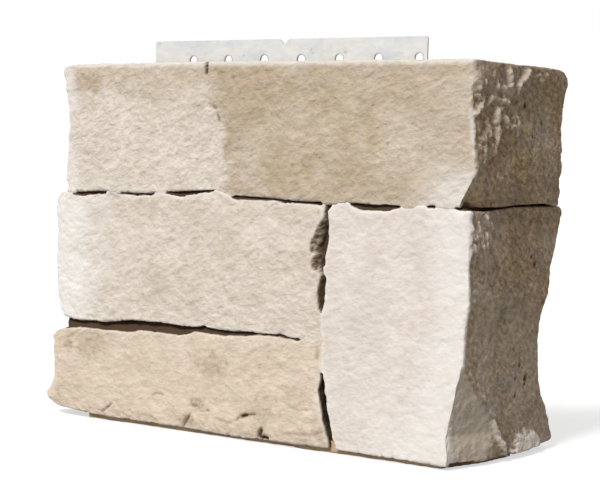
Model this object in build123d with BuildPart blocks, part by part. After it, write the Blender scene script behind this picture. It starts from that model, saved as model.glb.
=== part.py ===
"""Ledger stone corner piece: one casting of concrete that reads as four stacked stones turning the outside
corner of a wall, with a punched steel nailing flange cast into the top of its back.

Frame: millimetres, +Z up. The origin is midway along the length and the depth, on the level that the piece
stands on. The long face looks towards -Y and the face of the return towards +X. The wall lies behind the
long leg and inside the return.
"""
import os
from math import pi, sin

from build123d import *

# Driving sizes of the whole piece
face_width = 274.0  # left end of the long face to the face of the return
return_depth = 103.0  # long face to the end of the return
stone_height = 205.0  # lower edge of the faces to the top bed
leg_thickness = 30.0  # long face to the wall
return_thickness = 30.0  # face of the return to the wall
overhang_left = 10.5  # how far the lowest stone bulges past the left end
overhang_right = 3.8  # how far the top course bulges past the face of the return
overhang_end = 6.4  # how far the top course runs past the end of the return

# Joints between the stones, measured up from the lower edge of the faces
upper_bed = 132.0  # underside of the top course
upper_gap = 1.6
lower_bed = 56.6  # underside of the middle stone on the left
lower_gap_left = 4.8  # that joint gapes at the end of the piece
lower_gap_right = 0.9
upright_joint = 186.0  # left end to the middle of the upright joint
upright_gap = 4.0

# Backing that carries the stones, and the foot that it forms under them
joint_depth = 8.0  # how far the backing lies behind the faces
backing_left = 1.5  # left end to the backing
backing_end = 25.0  # end of the return to the backing
backing_cover = 6.0  # stone over the top of the backing
foot_drop = 2.5  # how far the foot stands below the stones
foot_inset_left = 18.5  # left end to the foot
foot_inset = 4.0  # how far the foot lies behind the faces
foot_end = 38.0  # end of the return to the foot

# Split faces: a low swell, rolled over where a face meets a bed or an end
swell = 1.0  # how far a hollow lies behind a crest
swell_length = 150.0  # one crest to the next
end_roll = 2.2  # roll at the ends of a face
arris = 1.6  # width of the worn edge between the two faces
levels = (0.0, 0.05, 0.2, 0.45, 0.7, 0.95, 1.0)  # shares of a stone's height at which it is drawn
bed_roll = (1.2, 0.5, 0.1, 0.0, 0.1, 0.5, 1.2)  # roll at each of those levels

# Chips knocked off the corner, where the arris of the return meets a lower bed
top_chip = (6.0, 22.0, 14.0)  # along the long face, along the return, up the arris
low_chip = (11.4, 51.8, 58.0)

# Nailing flange, punched from galvanised sheet
flange_start = 45.0  # left end of the face to the flange
flange_rise = 15.9  # top bed to the upper edge of the flange
flange_embed = 20.0  # depth of the flange in the casting
flange_gauge = 0.9
lip_length = 8.0  # hooked edge that holds the flange in the casting
lip_bend = 1.2  # inside radius of the hook
flange_corner = 1.4  # radius of the upper corners
hole_diameter = 5.2
hole_pitch = 25.4
hole_count = 7
hole_rise = 4.5  # top bed to the middle of the holes
hole_margin = 28.4  # left end of the flange to the first hole
end_margin = 5.1  # last hole to the right end of the flange
notch_width = 7.0  # cutting mark in the middle of the upper edge
notch_depth = 2.8
notch_shoulder = 1.2  # radius where the notch meets the edge

# Rebate along the lower back edge, which laps over the flange of the piece below
rebate_depth = 3.0
rebate_clearance = 4.0  # above that flange and beyond each of its ends

# Places that follow from those sizes
left_x = (overhang_left - face_width - overhang_right) / 2
right_x = left_x + face_width
front_y = -(return_depth + overhang_end) / 2
end_y = front_y + return_depth
wall_x = right_x - return_thickness
wall_y = front_y + leg_thickness
face_z = foot_drop
top_z = face_z + stone_height
upper_z = face_z + upper_bed
lower_z = face_z + lower_bed
joint_left = left_x + upright_joint - upright_gap / 2
joint_right = left_x + upright_joint + upright_gap / 2
trim = leg_thickness / 2  # how far the stones run on behind the wall plane before the wall trims them
flange_length = hole_margin + (hole_count - 1) * hole_pitch + end_margin
flange_left = left_x + flange_start
hole_x = flange_left + hole_margin + (hole_count - 1) * hole_pitch / 2
hole_z = top_z + hole_rise


def across(low, high, share):
    """The value at this share of the way from low to high."""
    return low + (high - low) * share


def split_face(length, level, phase, rolled):
    """Points along a split face at one level: how far along it is, and how far behind the crests it lies.
    The two entries of rolled say whether its start and its finish are rolled over."""
    count = 3 + round(length / 90.0)
    points = []
    for i in range(count):
        share = i / (count - 1)
        wave = sin(2 * pi * (share * length / swell_length + levels[level] / 2 + phase))
        roll = end_roll * (rolled[0] * (1 - share) ** 8 + rolled[1] * share**8)
        points.append((share * length, bed_roll[level] + roll + swell * (1 + wave) / 2))
    return points


def leg_outline(level, plane, left, right, phase):
    """Outline of a stone in the long leg: its split face, and plain sides that run back past the wall."""
    face = split_face(right - left, level, phase, rolled=(1, 1))
    front = [(left + along, front_y + depth) for along, depth in face]
    with BuildSketch(plane) as outline:
        with BuildLine():
            Spline(*front)
            Polyline(front[-1], (right, wall_y + trim), (left, wall_y + trim), front[0])
        make_face()
    return outline.sketch


def corner_outline(level, plane, left, right, end, phase):
    """Outline of a stone that turns the corner: split face, worn arris, split side, and plain back."""
    wear = arris + bed_roll[level] + swell
    face = split_face(right - wear - left, level, phase, rolled=(1, 0))
    side = split_face(end - front_y - wear, level, phase + 0.35, rolled=(0, 1))
    front = [(left + along, front_y + depth) for along, depth in face]
    flank = [(right - depth, front_y + wear + along) for along, depth in side]
    with BuildSketch(plane) as outline:
        with BuildLine():
            Spline(*front)
            Line(front[-1], flank[0])
            Spline(*flank)
            Polyline(flank[-1], (left, end), front[0])
        make_face()
    return outline.sketch


def tilted_bed(left_z, right_z):
    """The plane that passes left_z at the left end and right_z at the upright joint."""
    slope = (right_z - left_z) / (joint_left - left_x)
    return Plane(origin=(0, 0, left_z - slope * left_x), x_dir=(1, 0, slope), z_dir=(-slope, 0, 1))


def chip_plane(bed_z, chip):
    """The plane of a chip off the lower end of the corner, with legs along both faces and up the arris."""
    along_face, along_side, up = chip
    corner = Vector(right_x, front_y, bed_z)
    on_face = corner - Vector(along_face, 0, 0)
    on_side = corner + Vector(0, along_side, 0)
    on_arris = corner + Vector(0, 0, up)
    return Plane(Face(Wire.make_polygon([on_face, on_side, on_arris])))


# Top course: one long stone that turns the corner
top_left = (3.5, 2.0, 1.2, 2.4, 2.2, -3.0, 0.5)
top_right = (0.5, 2.0, 3.8, 3.0, 0.8, 1.0, 0.5)
top_end = (-5.5, -4.0, -4.2, -1.6, 3.2, 6.2, 3.5)
with BuildPart() as top_course:
    loft([
        corner_outline(
            level,
            Plane.XY.offset(across(upper_z, top_z, share)),
            left_x + top_left[level],
            right_x + top_right[level],
            end_y + top_end[level],
            phase=0.10,
        )
        for level, share in enumerate(levels)
    ])
    split(bisect_by=chip_plane(upper_z, top_chip), keep=Keep.BOTTOM)

# Corner stone: stands full height under the top course, with a hollow end and a flared foot
corner_left = (11.0, 7.0, 2.6, -0.4, 0.8, 0.9, 3.2)
corner_right = (-1.0, 0.0, 0.5, 0.5, 3.0, 1.2, 3.0)
corner_end = (2.0, 0.8, -12.0, -19.5, -11.0, 2.0, 1.5)
with BuildPart() as corner_stone:
    loft([
        corner_outline(
            level,
            Plane.XY.offset(across(face_z, upper_z - upper_gap, share)),
            joint_right + corner_left[level],
            right_x + corner_right[level],
            end_y + corner_end[level],
            phase=0.45,
        )
        for level, share in enumerate(levels)
    ])

# Middle stone on the left
middle_left = (3.0, -0.5, -3.5, -4.6, -4.8, -5.6, -2.0)
middle_right = (2.0, 1.6, 0.6, 0.0, -5.0, 0.5, 1.5)
with BuildPart() as middle_stone:
    loft([
        leg_outline(
            level,
            Plane.XY.offset(across(lower_z, upper_z - upper_gap, share)),
            left_x + middle_left[level],
            joint_left + middle_right[level],
            phase=0.70,
        )
        for level, share in enumerate(levels)
    ])

# Lowest stone on the left: its top bed falls towards the end of the piece, so the joint gapes there
low_left = (-3.0, -8.0, -10.5, -5.2, -5.0, -4.0, 1.0)
low_right = (8.6, 7.5, 5.5, 2.5, 3.0, 2.6, 2.0)
with BuildPart() as low_stone:
    loft([
        leg_outline(
            level,
            tilted_bed(
                across(face_z, lower_z - lower_gap_left, share),
                across(face_z, lower_z - lower_gap_right, share),
            ),
            left_x + low_left[level],
            joint_left + low_right[level],
            phase=0.25,
        )
        for level, share in enumerate(levels)
    ])

# Nailing flange: a strip bent to a hook along its lower edge, then punched
sheet_y = wall_y - flange_gauge / 2
hook_z = top_z - flange_embed + flange_gauge / 2
with BuildPart() as nailing_flange:
    with BuildSketch(Plane.YZ.offset(flange_left)):
        with BuildLine():
            FilletPolyline(
                (sheet_y, top_z + flange_rise),
                (sheet_y, hook_z),
                (sheet_y - lip_length, hook_z),
                radius=lip_bend + flange_gauge / 2,
            )
        trace(line_width=flange_gauge)
    extrude(amount=flange_length)
    with BuildSketch(Plane.XZ.offset(-wall_y)):
        with Locations((hole_x, hole_z)):
            with GridLocations(hole_pitch, hole_pitch, hole_count, 1):
                Circle(hole_diameter / 2)
    extrude(amount=flange_gauge, mode=Mode.SUBTRACT)
    with BuildSketch(Plane.XZ.offset(-wall_y)):
        with BuildLine(Location((flange_left + flange_length / 2, top_z + flange_rise))):
            Polyline((-notch_width / 2, 0), (0, -notch_depth), (notch_width / 2, 0), close=True)
        make_face()
    extrude(amount=flange_gauge, mode=Mode.SUBTRACT)
    upper_edges = nailing_flange.edges().filter_by(Axis.Y).group_by(Axis.Z)[-1].sort_by(Axis.X)
    fillet([upper_edges[0], upper_edges[-1]], radius=flange_corner)
    shoulders = nailing_flange.edges().filter_by(Axis.Y).group_by(Axis.Z)[-1].sort_by(Axis.X)
    fillet(shoulders[1:-1], radius=notch_shoulder)
nailing_flange.part.label = "nailing_flange"

# The casting: the four stones on their backing and foot, chipped at the lower corner. The wall's corner,
# the lap rebate and the bed of the flange are cut out
with BuildPart() as cast_stone_body:
    for start_x, inset, end_inset, low_z, high_z in (
        (left_x + backing_left, joint_depth, backing_end, face_z, top_z - backing_cover),
        (left_x + foot_inset_left, foot_inset, foot_end, 0, face_z + foot_drop),
    ):
        with BuildSketch(Plane.XY.offset(low_z)):
            with Locations((start_x, front_y + inset)):
                Rectangle(
                    right_x - inset - start_x,
                    return_depth - inset - end_inset,
                    align=(Align.MIN, Align.MIN),
                )
        extrude(amount=high_z - low_z)
    add([top_course.part, corner_stone.part, middle_stone.part, low_stone.part])
    split(bisect_by=chip_plane(face_z, low_chip), keep=Keep.BOTTOM)
    with BuildSketch():
        with Locations((wall_x, wall_y)):
            Rectangle(2 * face_width, 2 * return_depth, align=(Align.MAX, Align.MIN))
    extrude(amount=2 * top_z, mode=Mode.SUBTRACT)
    with BuildSketch():
        with Locations((flange_left - rebate_clearance, wall_y)):
            Rectangle(
                flange_length + 2 * rebate_clearance,
                2 * rebate_depth,
                align=(Align.MIN, Align.CENTER),
            )
    extrude(amount=flange_rise + rebate_clearance, mode=Mode.SUBTRACT)
    add(nailing_flange.part, mode=Mode.SUBTRACT)
cast_stone_body.part.label = "cast_stone_body"

os.makedirs("parts", exist_ok=True)
export_step(cast_stone_body.part, "parts/cast_stone_body.step")
export_step(nailing_flange.part, "parts/nailing_flange.step")
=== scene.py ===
"""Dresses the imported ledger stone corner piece: split faces, worn arrises and stains on the casting, zinc on
its nailing flange, and a plain studio round it."""

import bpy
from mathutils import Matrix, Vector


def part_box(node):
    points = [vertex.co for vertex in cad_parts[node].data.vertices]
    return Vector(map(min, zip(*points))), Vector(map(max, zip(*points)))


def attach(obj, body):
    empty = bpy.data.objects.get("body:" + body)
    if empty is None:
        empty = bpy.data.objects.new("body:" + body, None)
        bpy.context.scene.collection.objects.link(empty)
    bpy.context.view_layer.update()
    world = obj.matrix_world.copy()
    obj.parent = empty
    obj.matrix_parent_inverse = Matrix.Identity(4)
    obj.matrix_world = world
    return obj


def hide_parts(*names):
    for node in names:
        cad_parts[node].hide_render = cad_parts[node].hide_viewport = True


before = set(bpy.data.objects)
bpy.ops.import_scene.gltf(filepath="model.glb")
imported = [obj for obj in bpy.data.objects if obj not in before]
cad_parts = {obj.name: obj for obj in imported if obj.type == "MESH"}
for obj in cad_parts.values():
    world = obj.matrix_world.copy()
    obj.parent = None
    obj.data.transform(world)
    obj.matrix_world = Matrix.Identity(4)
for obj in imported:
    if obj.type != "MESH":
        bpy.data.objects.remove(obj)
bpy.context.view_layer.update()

import itertools
from math import cos, radians, sin

import bpy
import numpy as np
from mathutils import Matrix, Vector

bl_info = {
    "name": "Ledger stone corner piece",
    "version": (1, 0, 0),
    "blender": (4, 5, 0),
    "location": "3D View > Sidebar > Ledger stone",
    "description": "Makes the split stones, the backing, the zinc finish and the studio of a corner piece",
    "category": "Object",
}

# The face frame: millimetres along the long face from its left end, behind it, and up from its lower edge
MM = 0.001
casting_low, casting_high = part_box("cast_stone_body")
flange_low, flange_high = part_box("nailing_flange")
face_width = 274.0  # left end of the long face to the face of the return
return_depth = 103.0  # long face to the end of the return
stone_height = 203.0
leg = 30.0  # long face to the wall
wall_x = face_width - leg
flange_start = 45.0  # left end of the face to the flange
flange_gauge = 0.9  # thickness of the sheet
# The middle one of the seven holes, in the row frame
hole_x, hole_z, hole_pitch, hole_radius = 15.95, 212.0, 25.4, 2.6
upright_joint = 186.0  # left end of the face to the upright joint
# Rebate along the lower back edge, which laps over the flange of the piece below: its ends and its top
rebate_left, rebate_right, rebate_top = 41.0, 234.9, 15.4
rebate_depth = 3.0
hair = 0.05  # apart by this much, two faces don't lie in one plane
skin = 1.1  # how far the middle of the relief lies behind the face of the solid
# Where neighbouring stones touch: along the joint under the top course, along the one above the lowest
# stone, and up the joint beside the corner stone
upper_touches = ((-9, 9), (36, 43.5), (71.5, 77.5), (114, 124.5), (186, 200), (234.5, 249), (255.5, 265))
lower_touches = ((172, 200),)
upright_touches = ((39, 68.5), (91, 95))
foot_height = casting_high[2] / MM - stone_height
face_origin = np.array([flange_low[0] / MM - flange_start, flange_high[1] / MM - leg, foot_height])


def linear(code):
    """Linear red, green and blue of an sRGB hex colour."""
    channels = [int(code[i : i + 2], 16) / 255 for i in (1, 3, 5)]
    return [c / 12.92 if c <= 0.04045 else ((c + 0.055) / 1.055) ** 2.4 for c in channels]


# Noise, worked out for whole arrays of points


def lattice_slopes(cells, seed):
    """A unit vector for each lattice corner: its three whole numbers are mixed into an index of a table."""
    table = np.random.default_rng(seed).normal(size=(512, 3))
    table /= np.linalg.norm(table, axis=1)[:, None]
    mixed = cells @ np.array([73856093, 19349663, 83492791], dtype=np.int64)
    mixed ^= mixed >> 13
    mixed = (mixed * 1274126177) & 0x7FFFFFFF
    return table[(mixed >> 7) % 512]


def noise(points, size, seed):
    """Smooth noise of about -1 to 1: slopes at the corners of a lattice of this size, blended over each
    cell by a curve whose ends are flat."""
    place = points / size
    cells = np.floor(place).astype(np.int64)
    inside = place - cells
    fade = inside**3 * (inside * (inside * 6 - 15) + 10)
    total = np.zeros(len(points))
    for corner in itertools.product((0, 1), repeat=3):
        weight = np.prod(np.where(corner, fade, 1 - fade), axis=1)
        slopes = lattice_slopes(cells + np.array(corner), seed)
        total += weight * np.sum(slopes * (inside - corner), axis=1)
    return 1.7 * total


def flakes(points, size, seed):
    """Height of broken stone: hollow flakes that meet in sharp ridges. Each lattice cell has a bowl, set
    off its middle. The height is that of the lowest bowl round the point, less the mean of all heights."""
    place = points / size
    cells = np.floor(place).astype(np.int64)
    lowest = np.full(len(points), np.inf)
    for neighbour in itertools.product((-1, 0, 1), repeat=3):
        cell = cells + np.array(neighbour)
        shift = lattice_slopes(cell, seed)
        away = place - cell - 0.5 - 0.45 * shift
        lowest = np.minimum(lowest, np.sum(away**2, axis=1) + 0.5 * shift[:, 0])
    return lowest - lowest.mean()


def layered(points, size, seed, layers=3, gain=0.5):
    """Noise with finer noise added: each layer has half the size of the last, and gain times its height."""
    return sum(gain**i * noise(points, size / 2**i, seed + 17 * i) for i in range(layers))


def step(low, high, values):
    """0 below low, 1 above high, and an S-shaped curve between them."""
    share = np.clip((values - low) / (high - low), 0, 1)
    return share * share * (3 - 2 * share)


def falloff(distance, reach):
    """1 at no distance, and next to nothing past twice the reach."""
    return np.exp(-((distance / reach) ** 2))


def along(points, values):
    """Straight lines through a few chosen points (place, value), read at these values."""
    places, heights = zip(*points)
    return np.interp(values, places, heights)


def within(stretches, values):
    """1 inside any of these stretches and 0 outside, with short ramps at their ends."""
    share = np.zeros(len(values))
    for low, high in stretches:
        share = np.maximum(share, step(low - 1.2, low, values) * step(high + 1.2, high, values))
    return share


# The grid of a block, plain or L-shaped


def spread(stops, pitches):
    """Evenly spaced places between each stop and the next, at the pitch given for that stretch."""
    stretches = [
        np.linspace(low, high, max(2, round((high - low) / pitch) + 1))
        for low, high, pitch in zip(stops, stops[1:], pitches)
    ]
    return np.unique(np.round(np.concatenate(stretches), 4))


def patch(*axes, flip=False):
    """A grid of quads: three arrays, one of them a single number, give x, y and z of its points."""
    size = np.broadcast_shapes(*(np.shape(axis) for axis in axes))
    points = np.stack([np.broadcast_to(axis, size).ravel() for axis in axes], axis=1)
    index = np.arange(len(points)).reshape(size)
    quads = np.stack([index[:-1, :-1], index[:-1, 1:], index[1:, 1:], index[1:, :-1]], axis=-1)
    quads = quads.reshape(-1, 4)
    return points, quads[:, ::-1] if flip else quads


def trail(*legs):
    """Points along a few straight legs, each given as three arrays of which two are single numbers."""
    runs = [np.stack(np.broadcast_arrays(*leg), axis=1) for leg in legs]
    return np.concatenate(runs).astype(float)


def block(xs, ys, zs, wall_corner=None):
    """A closed block on a grid. Its outer sides and beds are quads that meet point to point, and each
    side against the wall is one flat face on the edges of its neighbours. A wall corner (x, y) makes it
    L-shaped: the space beyond y and before x is left out. Returns its points, its quads and its wall
    sides."""
    low, high = zs[0], zs[-1]
    inside = zs[-2:0:-1]
    if wall_corner is None:
        leg_ys, back, run = ys, ys[-1], xs
        beds = [(xs, ys)]
        far_end = [(run[-1], back, inside)]
        sides = []
    else:
        corner_x, back = wall_corner
        leg_ys, deep_ys = ys[ys <= back], ys[ys >= back]
        run, return_xs = xs[xs <= corner_x], xs[xs >= corner_x]
        beds = [(xs, leg_ys), (return_xs, deep_ys)]
        far_end = []
        end_legs = ((corner_x, deep_ys[::-1], low), (corner_x, deep_ys, high), (corner_x, ys[-1], inside))
        sides = [trail(*end_legs)]
    back_legs = ((run[::-1], back, low), (run[0], back, zs[1:]), (run[1:], back, high))
    sides.insert(0, trail(*back_legs, *far_end))
    patches = [patch(bed_xs[None, :], bed_ys[:, None], high) for bed_xs, bed_ys in beds]
    patches += [patch(bed_xs[None, :], bed_ys[:, None], low, flip=True) for bed_xs, bed_ys in beds]
    patches.append(patch(xs[None, :], ys[0], zs[:, None]))
    patches.append(patch(xs[0], leg_ys[None, :], zs[:, None], flip=True))
    patches.append(patch(xs[-1], ys[None, :], zs[:, None]))
    if wall_corner is not None:
        patches.append(patch(return_xs[None, :], ys[-1], zs[:, None], flip=True))
    groups = [points for points, _ in patches] + sides
    starts = np.cumsum([0] + [len(points) for points in groups])
    points, merged = np.unique(np.round(np.concatenate(groups), 4), axis=0, return_inverse=True)
    merged = merged.ravel()
    quads = np.concatenate([merged[quads + start] for start, (_, quads) in zip(starts, patches)])
    side_starts = starts[len(patches) :]
    sides = [merged[low : low + len(side)] for low, side in zip(side_starts, sides)]
    return points, quads, sides


def make_piece(name, points, quads, sides=()):
    """A mesh object in the row frame from points of the face frame. Its wall sides are flat, the rest
    smooth."""
    mesh = bpy.data.meshes.new(name)
    faces = quads.tolist() + [side.tolist() for side in sides]
    mesh.from_pydata(((points + face_origin) * MM).tolist(), [], faces)
    smooth = np.ones(len(faces), dtype=bool)
    smooth[len(quads) :] = False
    mesh.polygons.foreach_set("use_smooth", smooth)
    mesh.update()
    piece = bpy.data.objects.new(name, mesh)
    bpy.context.scene.collection.objects.link(piece)
    return piece


def store(piece, name, values):
    """Keeps one number for each point of the mesh, for the piece's material to read."""
    layer = piece.data.attributes.new(name, "FLOAT", "POINT")
    layer.data.foreach_set("value", np.clip(values, 0, 1).astype(np.float32))


# Shaping of the stones


def round_off(points, low, high, radius, has_return):
    """Rounds the outer edges: each point is carried straight out from the nearest place of a block that
    is smaller by the radius all round. Returns the rounded points and the outward direction at each."""
    core = np.clip(points, np.array(low) + radius, np.array(high) - radius)
    if not has_return:
        core[:, 1] = np.maximum(points[:, 1], low[1] + radius)
    out = points - core
    reach = np.linalg.norm(out, axis=1, keepdims=True)
    out = out / np.maximum(reach, 1e-9)
    return core + radius * out, out


def edge_distance(points, low, high):
    """How far each point of the outer surface is from the nearest outer edge."""
    gaps = np.stack(
        [
            points[:, 0] - low[0],
            high[0] - points[:, 0],
            points[:, 1] - low[1],
            high[1] - points[:, 1],
            points[:, 2] - low[2],
            high[2] - points[:, 2],
        ]
    )
    gaps = np.sort(np.abs(gaps), axis=0)
    return np.hypot(gaps[0], gaps[1])


def unrolled(points, slant):
    """The faces laid out flat: length round the corner, a little of the depth, and height, turned so that
    the first runs along the slant of the tears."""
    length = points[:, 0] + points[:, 1]
    height = points[:, 2]
    along_tear = cos(slant) * length + sin(slant) * height
    across_tear = cos(slant) * height - sin(slant) * length
    return np.stack([along_tear, 0.3 * (points[:, 0] - points[:, 1]), across_tear], axis=1)


def split_relief(points, seed, slant, sizes):
    """Height of the split face about its middle, in mm: a slow swell, hollow flakes of two sizes and
    lumps of three, all drawn out along the slant and bent so that they wander, and the grit."""
    swell, tears, grit = sizes
    flat = unrolled(points, slant)
    wander = np.stack([layered(points, 8, seed + turn, 2, 0.6) for turn in (3, 4, 5)], axis=1)
    run = (flat + 1.8 * wander) * np.array([0.75, 0.8, 1.0])
    height = swell * layered(points, 62, seed, 2) + 0.5 * tears * noise(run, 15, seed + 1)
    height += tears * (0.7 * flakes(run, 9.5, seed + 10) - 0.35 * flakes(run, 4.4, seed + 4))
    return height + 0.52 * tears * layered(run, 6.0, seed + 2, 3, 0.62) + grit * noise(points, 1.9, seed + 6)


def splinters(points, size, seed):
    """Height of splintered stone about its middle: lumps drawn out upwards that lean, and finer ones."""
    lean = points @ np.array([[1, 0, 0], [0, 1, 0.25], [0, -0.35, 0.6]])
    return layered(lean, size, seed, 3, 0.62)


def chip(points, corner, legs, rough):
    """Planes off a corner of the stone. Three legs run from the corner along x, y and z, and each point
    outside the plane through their ends is laid onto it, a little unevenly. Returns the points and where
    it is cut."""
    ends = [np.array(corner, dtype=float) for _ in legs]
    for axis, leg_length in enumerate(legs):
        ends[axis][axis] += leg_length
    normal = np.cross(ends[1] - ends[0], ends[2] - ends[0])
    normal /= np.linalg.norm(normal)
    if normal @ (np.array(corner) - ends[0]) < 0:
        normal = -normal
    outside = (points - ends[0]) @ normal + rough
    cut = np.maximum(outside, 0)
    return points - cut[:, None] * normal, step(0, 1.2, cut)


def stretch(points, low, high, outline, has_return):
    """Bends a stone's straight sides to its drawn ones. The outline of a side gives where it stands at
    each height, and that of a bed how high it is along the face. The shift fades to nothing at the
    opposite side. Where the stone touches its neighbour, the side is pushed a little past the joint."""
    x, y, z = points.T.copy()
    side_reach = wall_x if has_return else high[0]
    from_left = np.clip((x - low[0]) / (side_reach - low[0]), 0, 1)
    from_right = np.clip((x - wall_x) / (high[0] - wall_x), 0, 1) if has_return else from_left
    from_wall = np.clip((y - leg) / (high[1] - leg), 0, 1) if has_return else 0 * y
    up = np.clip((z - low[2]) / (high[2] - low[2]), 0, 1)
    length = x + y * np.clip((x - wall_x) / leg, 0, 1)
    past = {side: 1.4 * within(outline["touches"].get(side, ()), length) for side in ("under", "over")}
    z = z + (1 - up) * (along(outline["under"], length) - past["under"] - low[2])
    z = z + up * (along(outline["over"], length) + past["over"] - high[2])
    past = {side: 1.4 * within(outline["touches"].get(side, ()), z) for side in ("left", "right")}
    x = x + (1 - from_left) * (along(outline["left"], z) - past["left"] - low[0])
    x = x + from_right * (along(outline["right"], z) + past["right"])
    if has_return:
        y = y + from_wall * along(outline["end"], z)
    return np.stack([x, y, z], axis=1)


def bevel(points, line, slope, rough):
    """Cuts a slanting facet down the right side of a stone. Beyond the line x(z), drawn as (z, x), the
    face falls back by the slope. Returns the points and where the facet is."""
    beyond = points[:, 0] - along(line, points[:, 2])
    fall = np.clip(slope * beyond + rough * step(0, 2, beyond), 0, leg - 8)
    cut = (beyond > 0) & (points[:, 1] < fall)
    points = points.copy()
    points[cut, 1] = fall[cut]
    return points, step(0.2, 1.2, beyond) * (points[:, 1] < leg - 6)


def near_strokes(across, up, strokes, wander, squash=1.0):
    """For each stroke, which is the places across and up of its two ends, its half width and its depth or
    height: how far each point is from it, the share of its length there, and those last two numbers."""
    for start, low, end, high, width, amount in strokes:
        run = np.array([end - start, high - low])
        share = np.clip(((across - start) * run[0] + (up - low) * run[1]) / (run @ run), 0, 1)
        aside, above = across - start - share * run[0] + wander, up - low - share * run[1] + wander
        yield np.hypot(aside, squash * above), share, width, amount


def groove(points, strokes):
    """Scores short cracks into the front, by strokes in x and z. A crack wanders a little and is widest in
    its middle. Returns the points and the share of dirt, which also paints the shade in the crack."""
    x, y, z = points.T
    wander = 0.5 * noise(points, 2.5, 88)
    total, dirt_and_shade = np.zeros(len(points)), np.zeros(len(points))
    for away, share, width, depth in near_strokes(x, z, strokes, wander):
        inside = falloff(away, width) * (y < 6) * (1 - 0.6 * (2 * share - 1) ** 4)
        total = np.maximum(total, depth * inside)
        dirt_and_shade = np.maximum(dirt_and_shade, np.clip(0.6 * depth * inside, 0, 1))
    return points + total[:, None] * np.array([0, 1, 0]), dirt_and_shade


def ridge(points, strokes):
    """Raises ragged splinters on the face of the return, by strokes in y and z. Returns the points and the
    share of bare stone, which is painted lighter, partly as a painted highlight on the splinters."""
    x, y, z = points.T
    wander = 0.7 * layered(points, 3.6, 89, 2, 0.7)
    ragged = 1.1 + 0.5 * noise(points, 4.2, 90)
    total = np.zeros(len(points))
    for away, _, width, height in near_strokes(y, z, strokes, wander, 1.3):
        total = np.maximum(total, 1.25 * height * ragged * np.clip(1 - 0.6 * away / width, 0, 1))
    total *= (x > face_width - 9) * step(0.5, 2.5, y)
    return points + total[:, None] * np.array([1, 0, 0]), step(0.5, 1.4, total)


def pit(points, holes):
    """Small blowholes in the face of the return: each is y, z, radius and depth. Returns the points and
    the share of dirt, which also paints the shade in each hole."""
    x, y, z = points.T
    total = np.zeros(len(points))
    for centre_y, centre_z, radius, depth in holes:
        inside = np.exp(-((y - centre_y) ** 2 + (z - centre_z) ** 2) / radius**2) * (x > face_width - 6)
        total = np.maximum(total, depth * inside)
    return points - total[:, None] * np.array([1, 0, 0]), np.clip(total, 0, 1)


def fill_joint(points, out, low, high, rise, has_return):
    """Lifts the middle of a stone's upper bed, so that it closes the joint above a few mm behind the
    faces. At the left end the fill hangs over. Returns the points and where the fill is, which is darkened
    with dirt and painted shade."""
    x, y = points.T[:2]
    from_left = x - low[0]
    behind = np.minimum(y, from_left - 2)
    if has_return:
        behind = np.minimum(behind, np.minimum(high[0] - x, high[1] - y + 2))
    on_bed = step(0.5, 0.9, out[:, 2])
    lift = rise * step(2.4, 6.5, behind + 0.8 * noise(points, 7, 91)) * on_bed
    overhang = -1.1 * step(16, 5, from_left) * lift
    return points + np.stack([overhang, 0 * lift, lift], axis=1), on_bed * step(0.5, 1.6, behind)


def open_rebate(points, base, spare):
    """Opens the rebate: each outer point that stands in its space is raised to its top. The spare makes
    it larger in the stones than in the backing, so that the backing is what shows there."""
    x, y, z = base.T
    inside = (x > rebate_left + hair - spare) & (x < rebate_right - hair + spare) & (z < rebate_top)
    inside &= y > leg - rebate_depth - 0.5 * hair - spare
    points = points.copy()
    points[inside, 2] = rebate_top + spare
    return points


def keep_inside(points):
    """Holds every point inside the box of the solids."""
    low = np.array(casting_low) / MM - face_origin + hair
    high = np.array(casting_high) / MM - face_origin - hair
    high[2] = flange_high[2] / MM - face_origin[2]
    return np.clip(points, low, high)


# Materials


def add_node(tree, kind, inputs=None, **settings):
    """Adds a node with its settings. An input that is given a socket is linked to it, and any other is
    set."""
    node = tree.nodes.new(kind)
    for name, value in settings.items():
        setattr(node, name, value)
    for name, value in (inputs or {}).items():
        if isinstance(value, bpy.types.NodeSocket):
            tree.links.new(value, node.inputs[name])
        else:
            node.inputs[name].default_value = value
    return node


def maths(tree, operation, *values):
    """One operation on numbers or sockets."""
    return add_node(tree, "ShaderNodeMath", dict(enumerate(values)), operation=operation).outputs[0]


def new_material(name):
    """An empty node tree with an output, and the coordinates that every pattern here reads."""
    material = bpy.data.materials.new(name)
    material.use_nodes = True
    tree = material.node_tree
    tree.nodes.clear()
    output = add_node(tree, "ShaderNodeOutputMaterial")
    place = add_node(tree, "ShaderNodeTexCoord").outputs["Object"]
    return material, tree, output, place


def per_mm(size):
    """The scale at which a pattern on coordinates in metres repeats about every so many millimetres."""
    return 1000.0 / size


def mix(tree, share, first, second, blend="MIX"):
    """Colour between first and second at this share."""
    sockets = {0: share, 6: first, 7: second}
    return add_node(tree, "ShaderNodeMix", sockets, data_type="RGBA", blend_type=blend).outputs[2]


def coat(tree, share, colour, paint):
    """Lays a paint over a colour by this share."""
    return mix(tree, share, colour, (*paint, 1))


def remap(tree, value, low, high, to_low=0.0, to_high=1.0):
    """Carries low..high to to_low..to_high, held at both ends."""
    ends = {"From Min": low, "From Max": high, "To Min": to_low, "To Max": to_high}
    return add_node(tree, "ShaderNodeMapRange", {"Value": value, **ends}).outputs["Result"]


def read(tree, name):
    """The number that is kept for each point of the mesh under this name."""
    return add_node(tree, "ShaderNodeAttribute", attribute_name=name).outputs["Fac"]


def texture(tree, place, size, detail=2.0, roughness=0.6):
    """Noise of this size in millimetres, 0 to 1."""
    sockets = {"Vector": place, "Scale": per_mm(size), "Detail": detail, "Roughness": roughness}
    return add_node(tree, "ShaderNodeTexNoise", sockets).outputs["Fac"]


def blotches(tree, place, size, low, high, share, detail=2.0, roughness=0.6):
    """Soft-edged patches of about this size, with this share inside and 0 outside."""
    return remap(tree, texture(tree, place, size, detail, roughness), low, high, 0.0, share)


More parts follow.
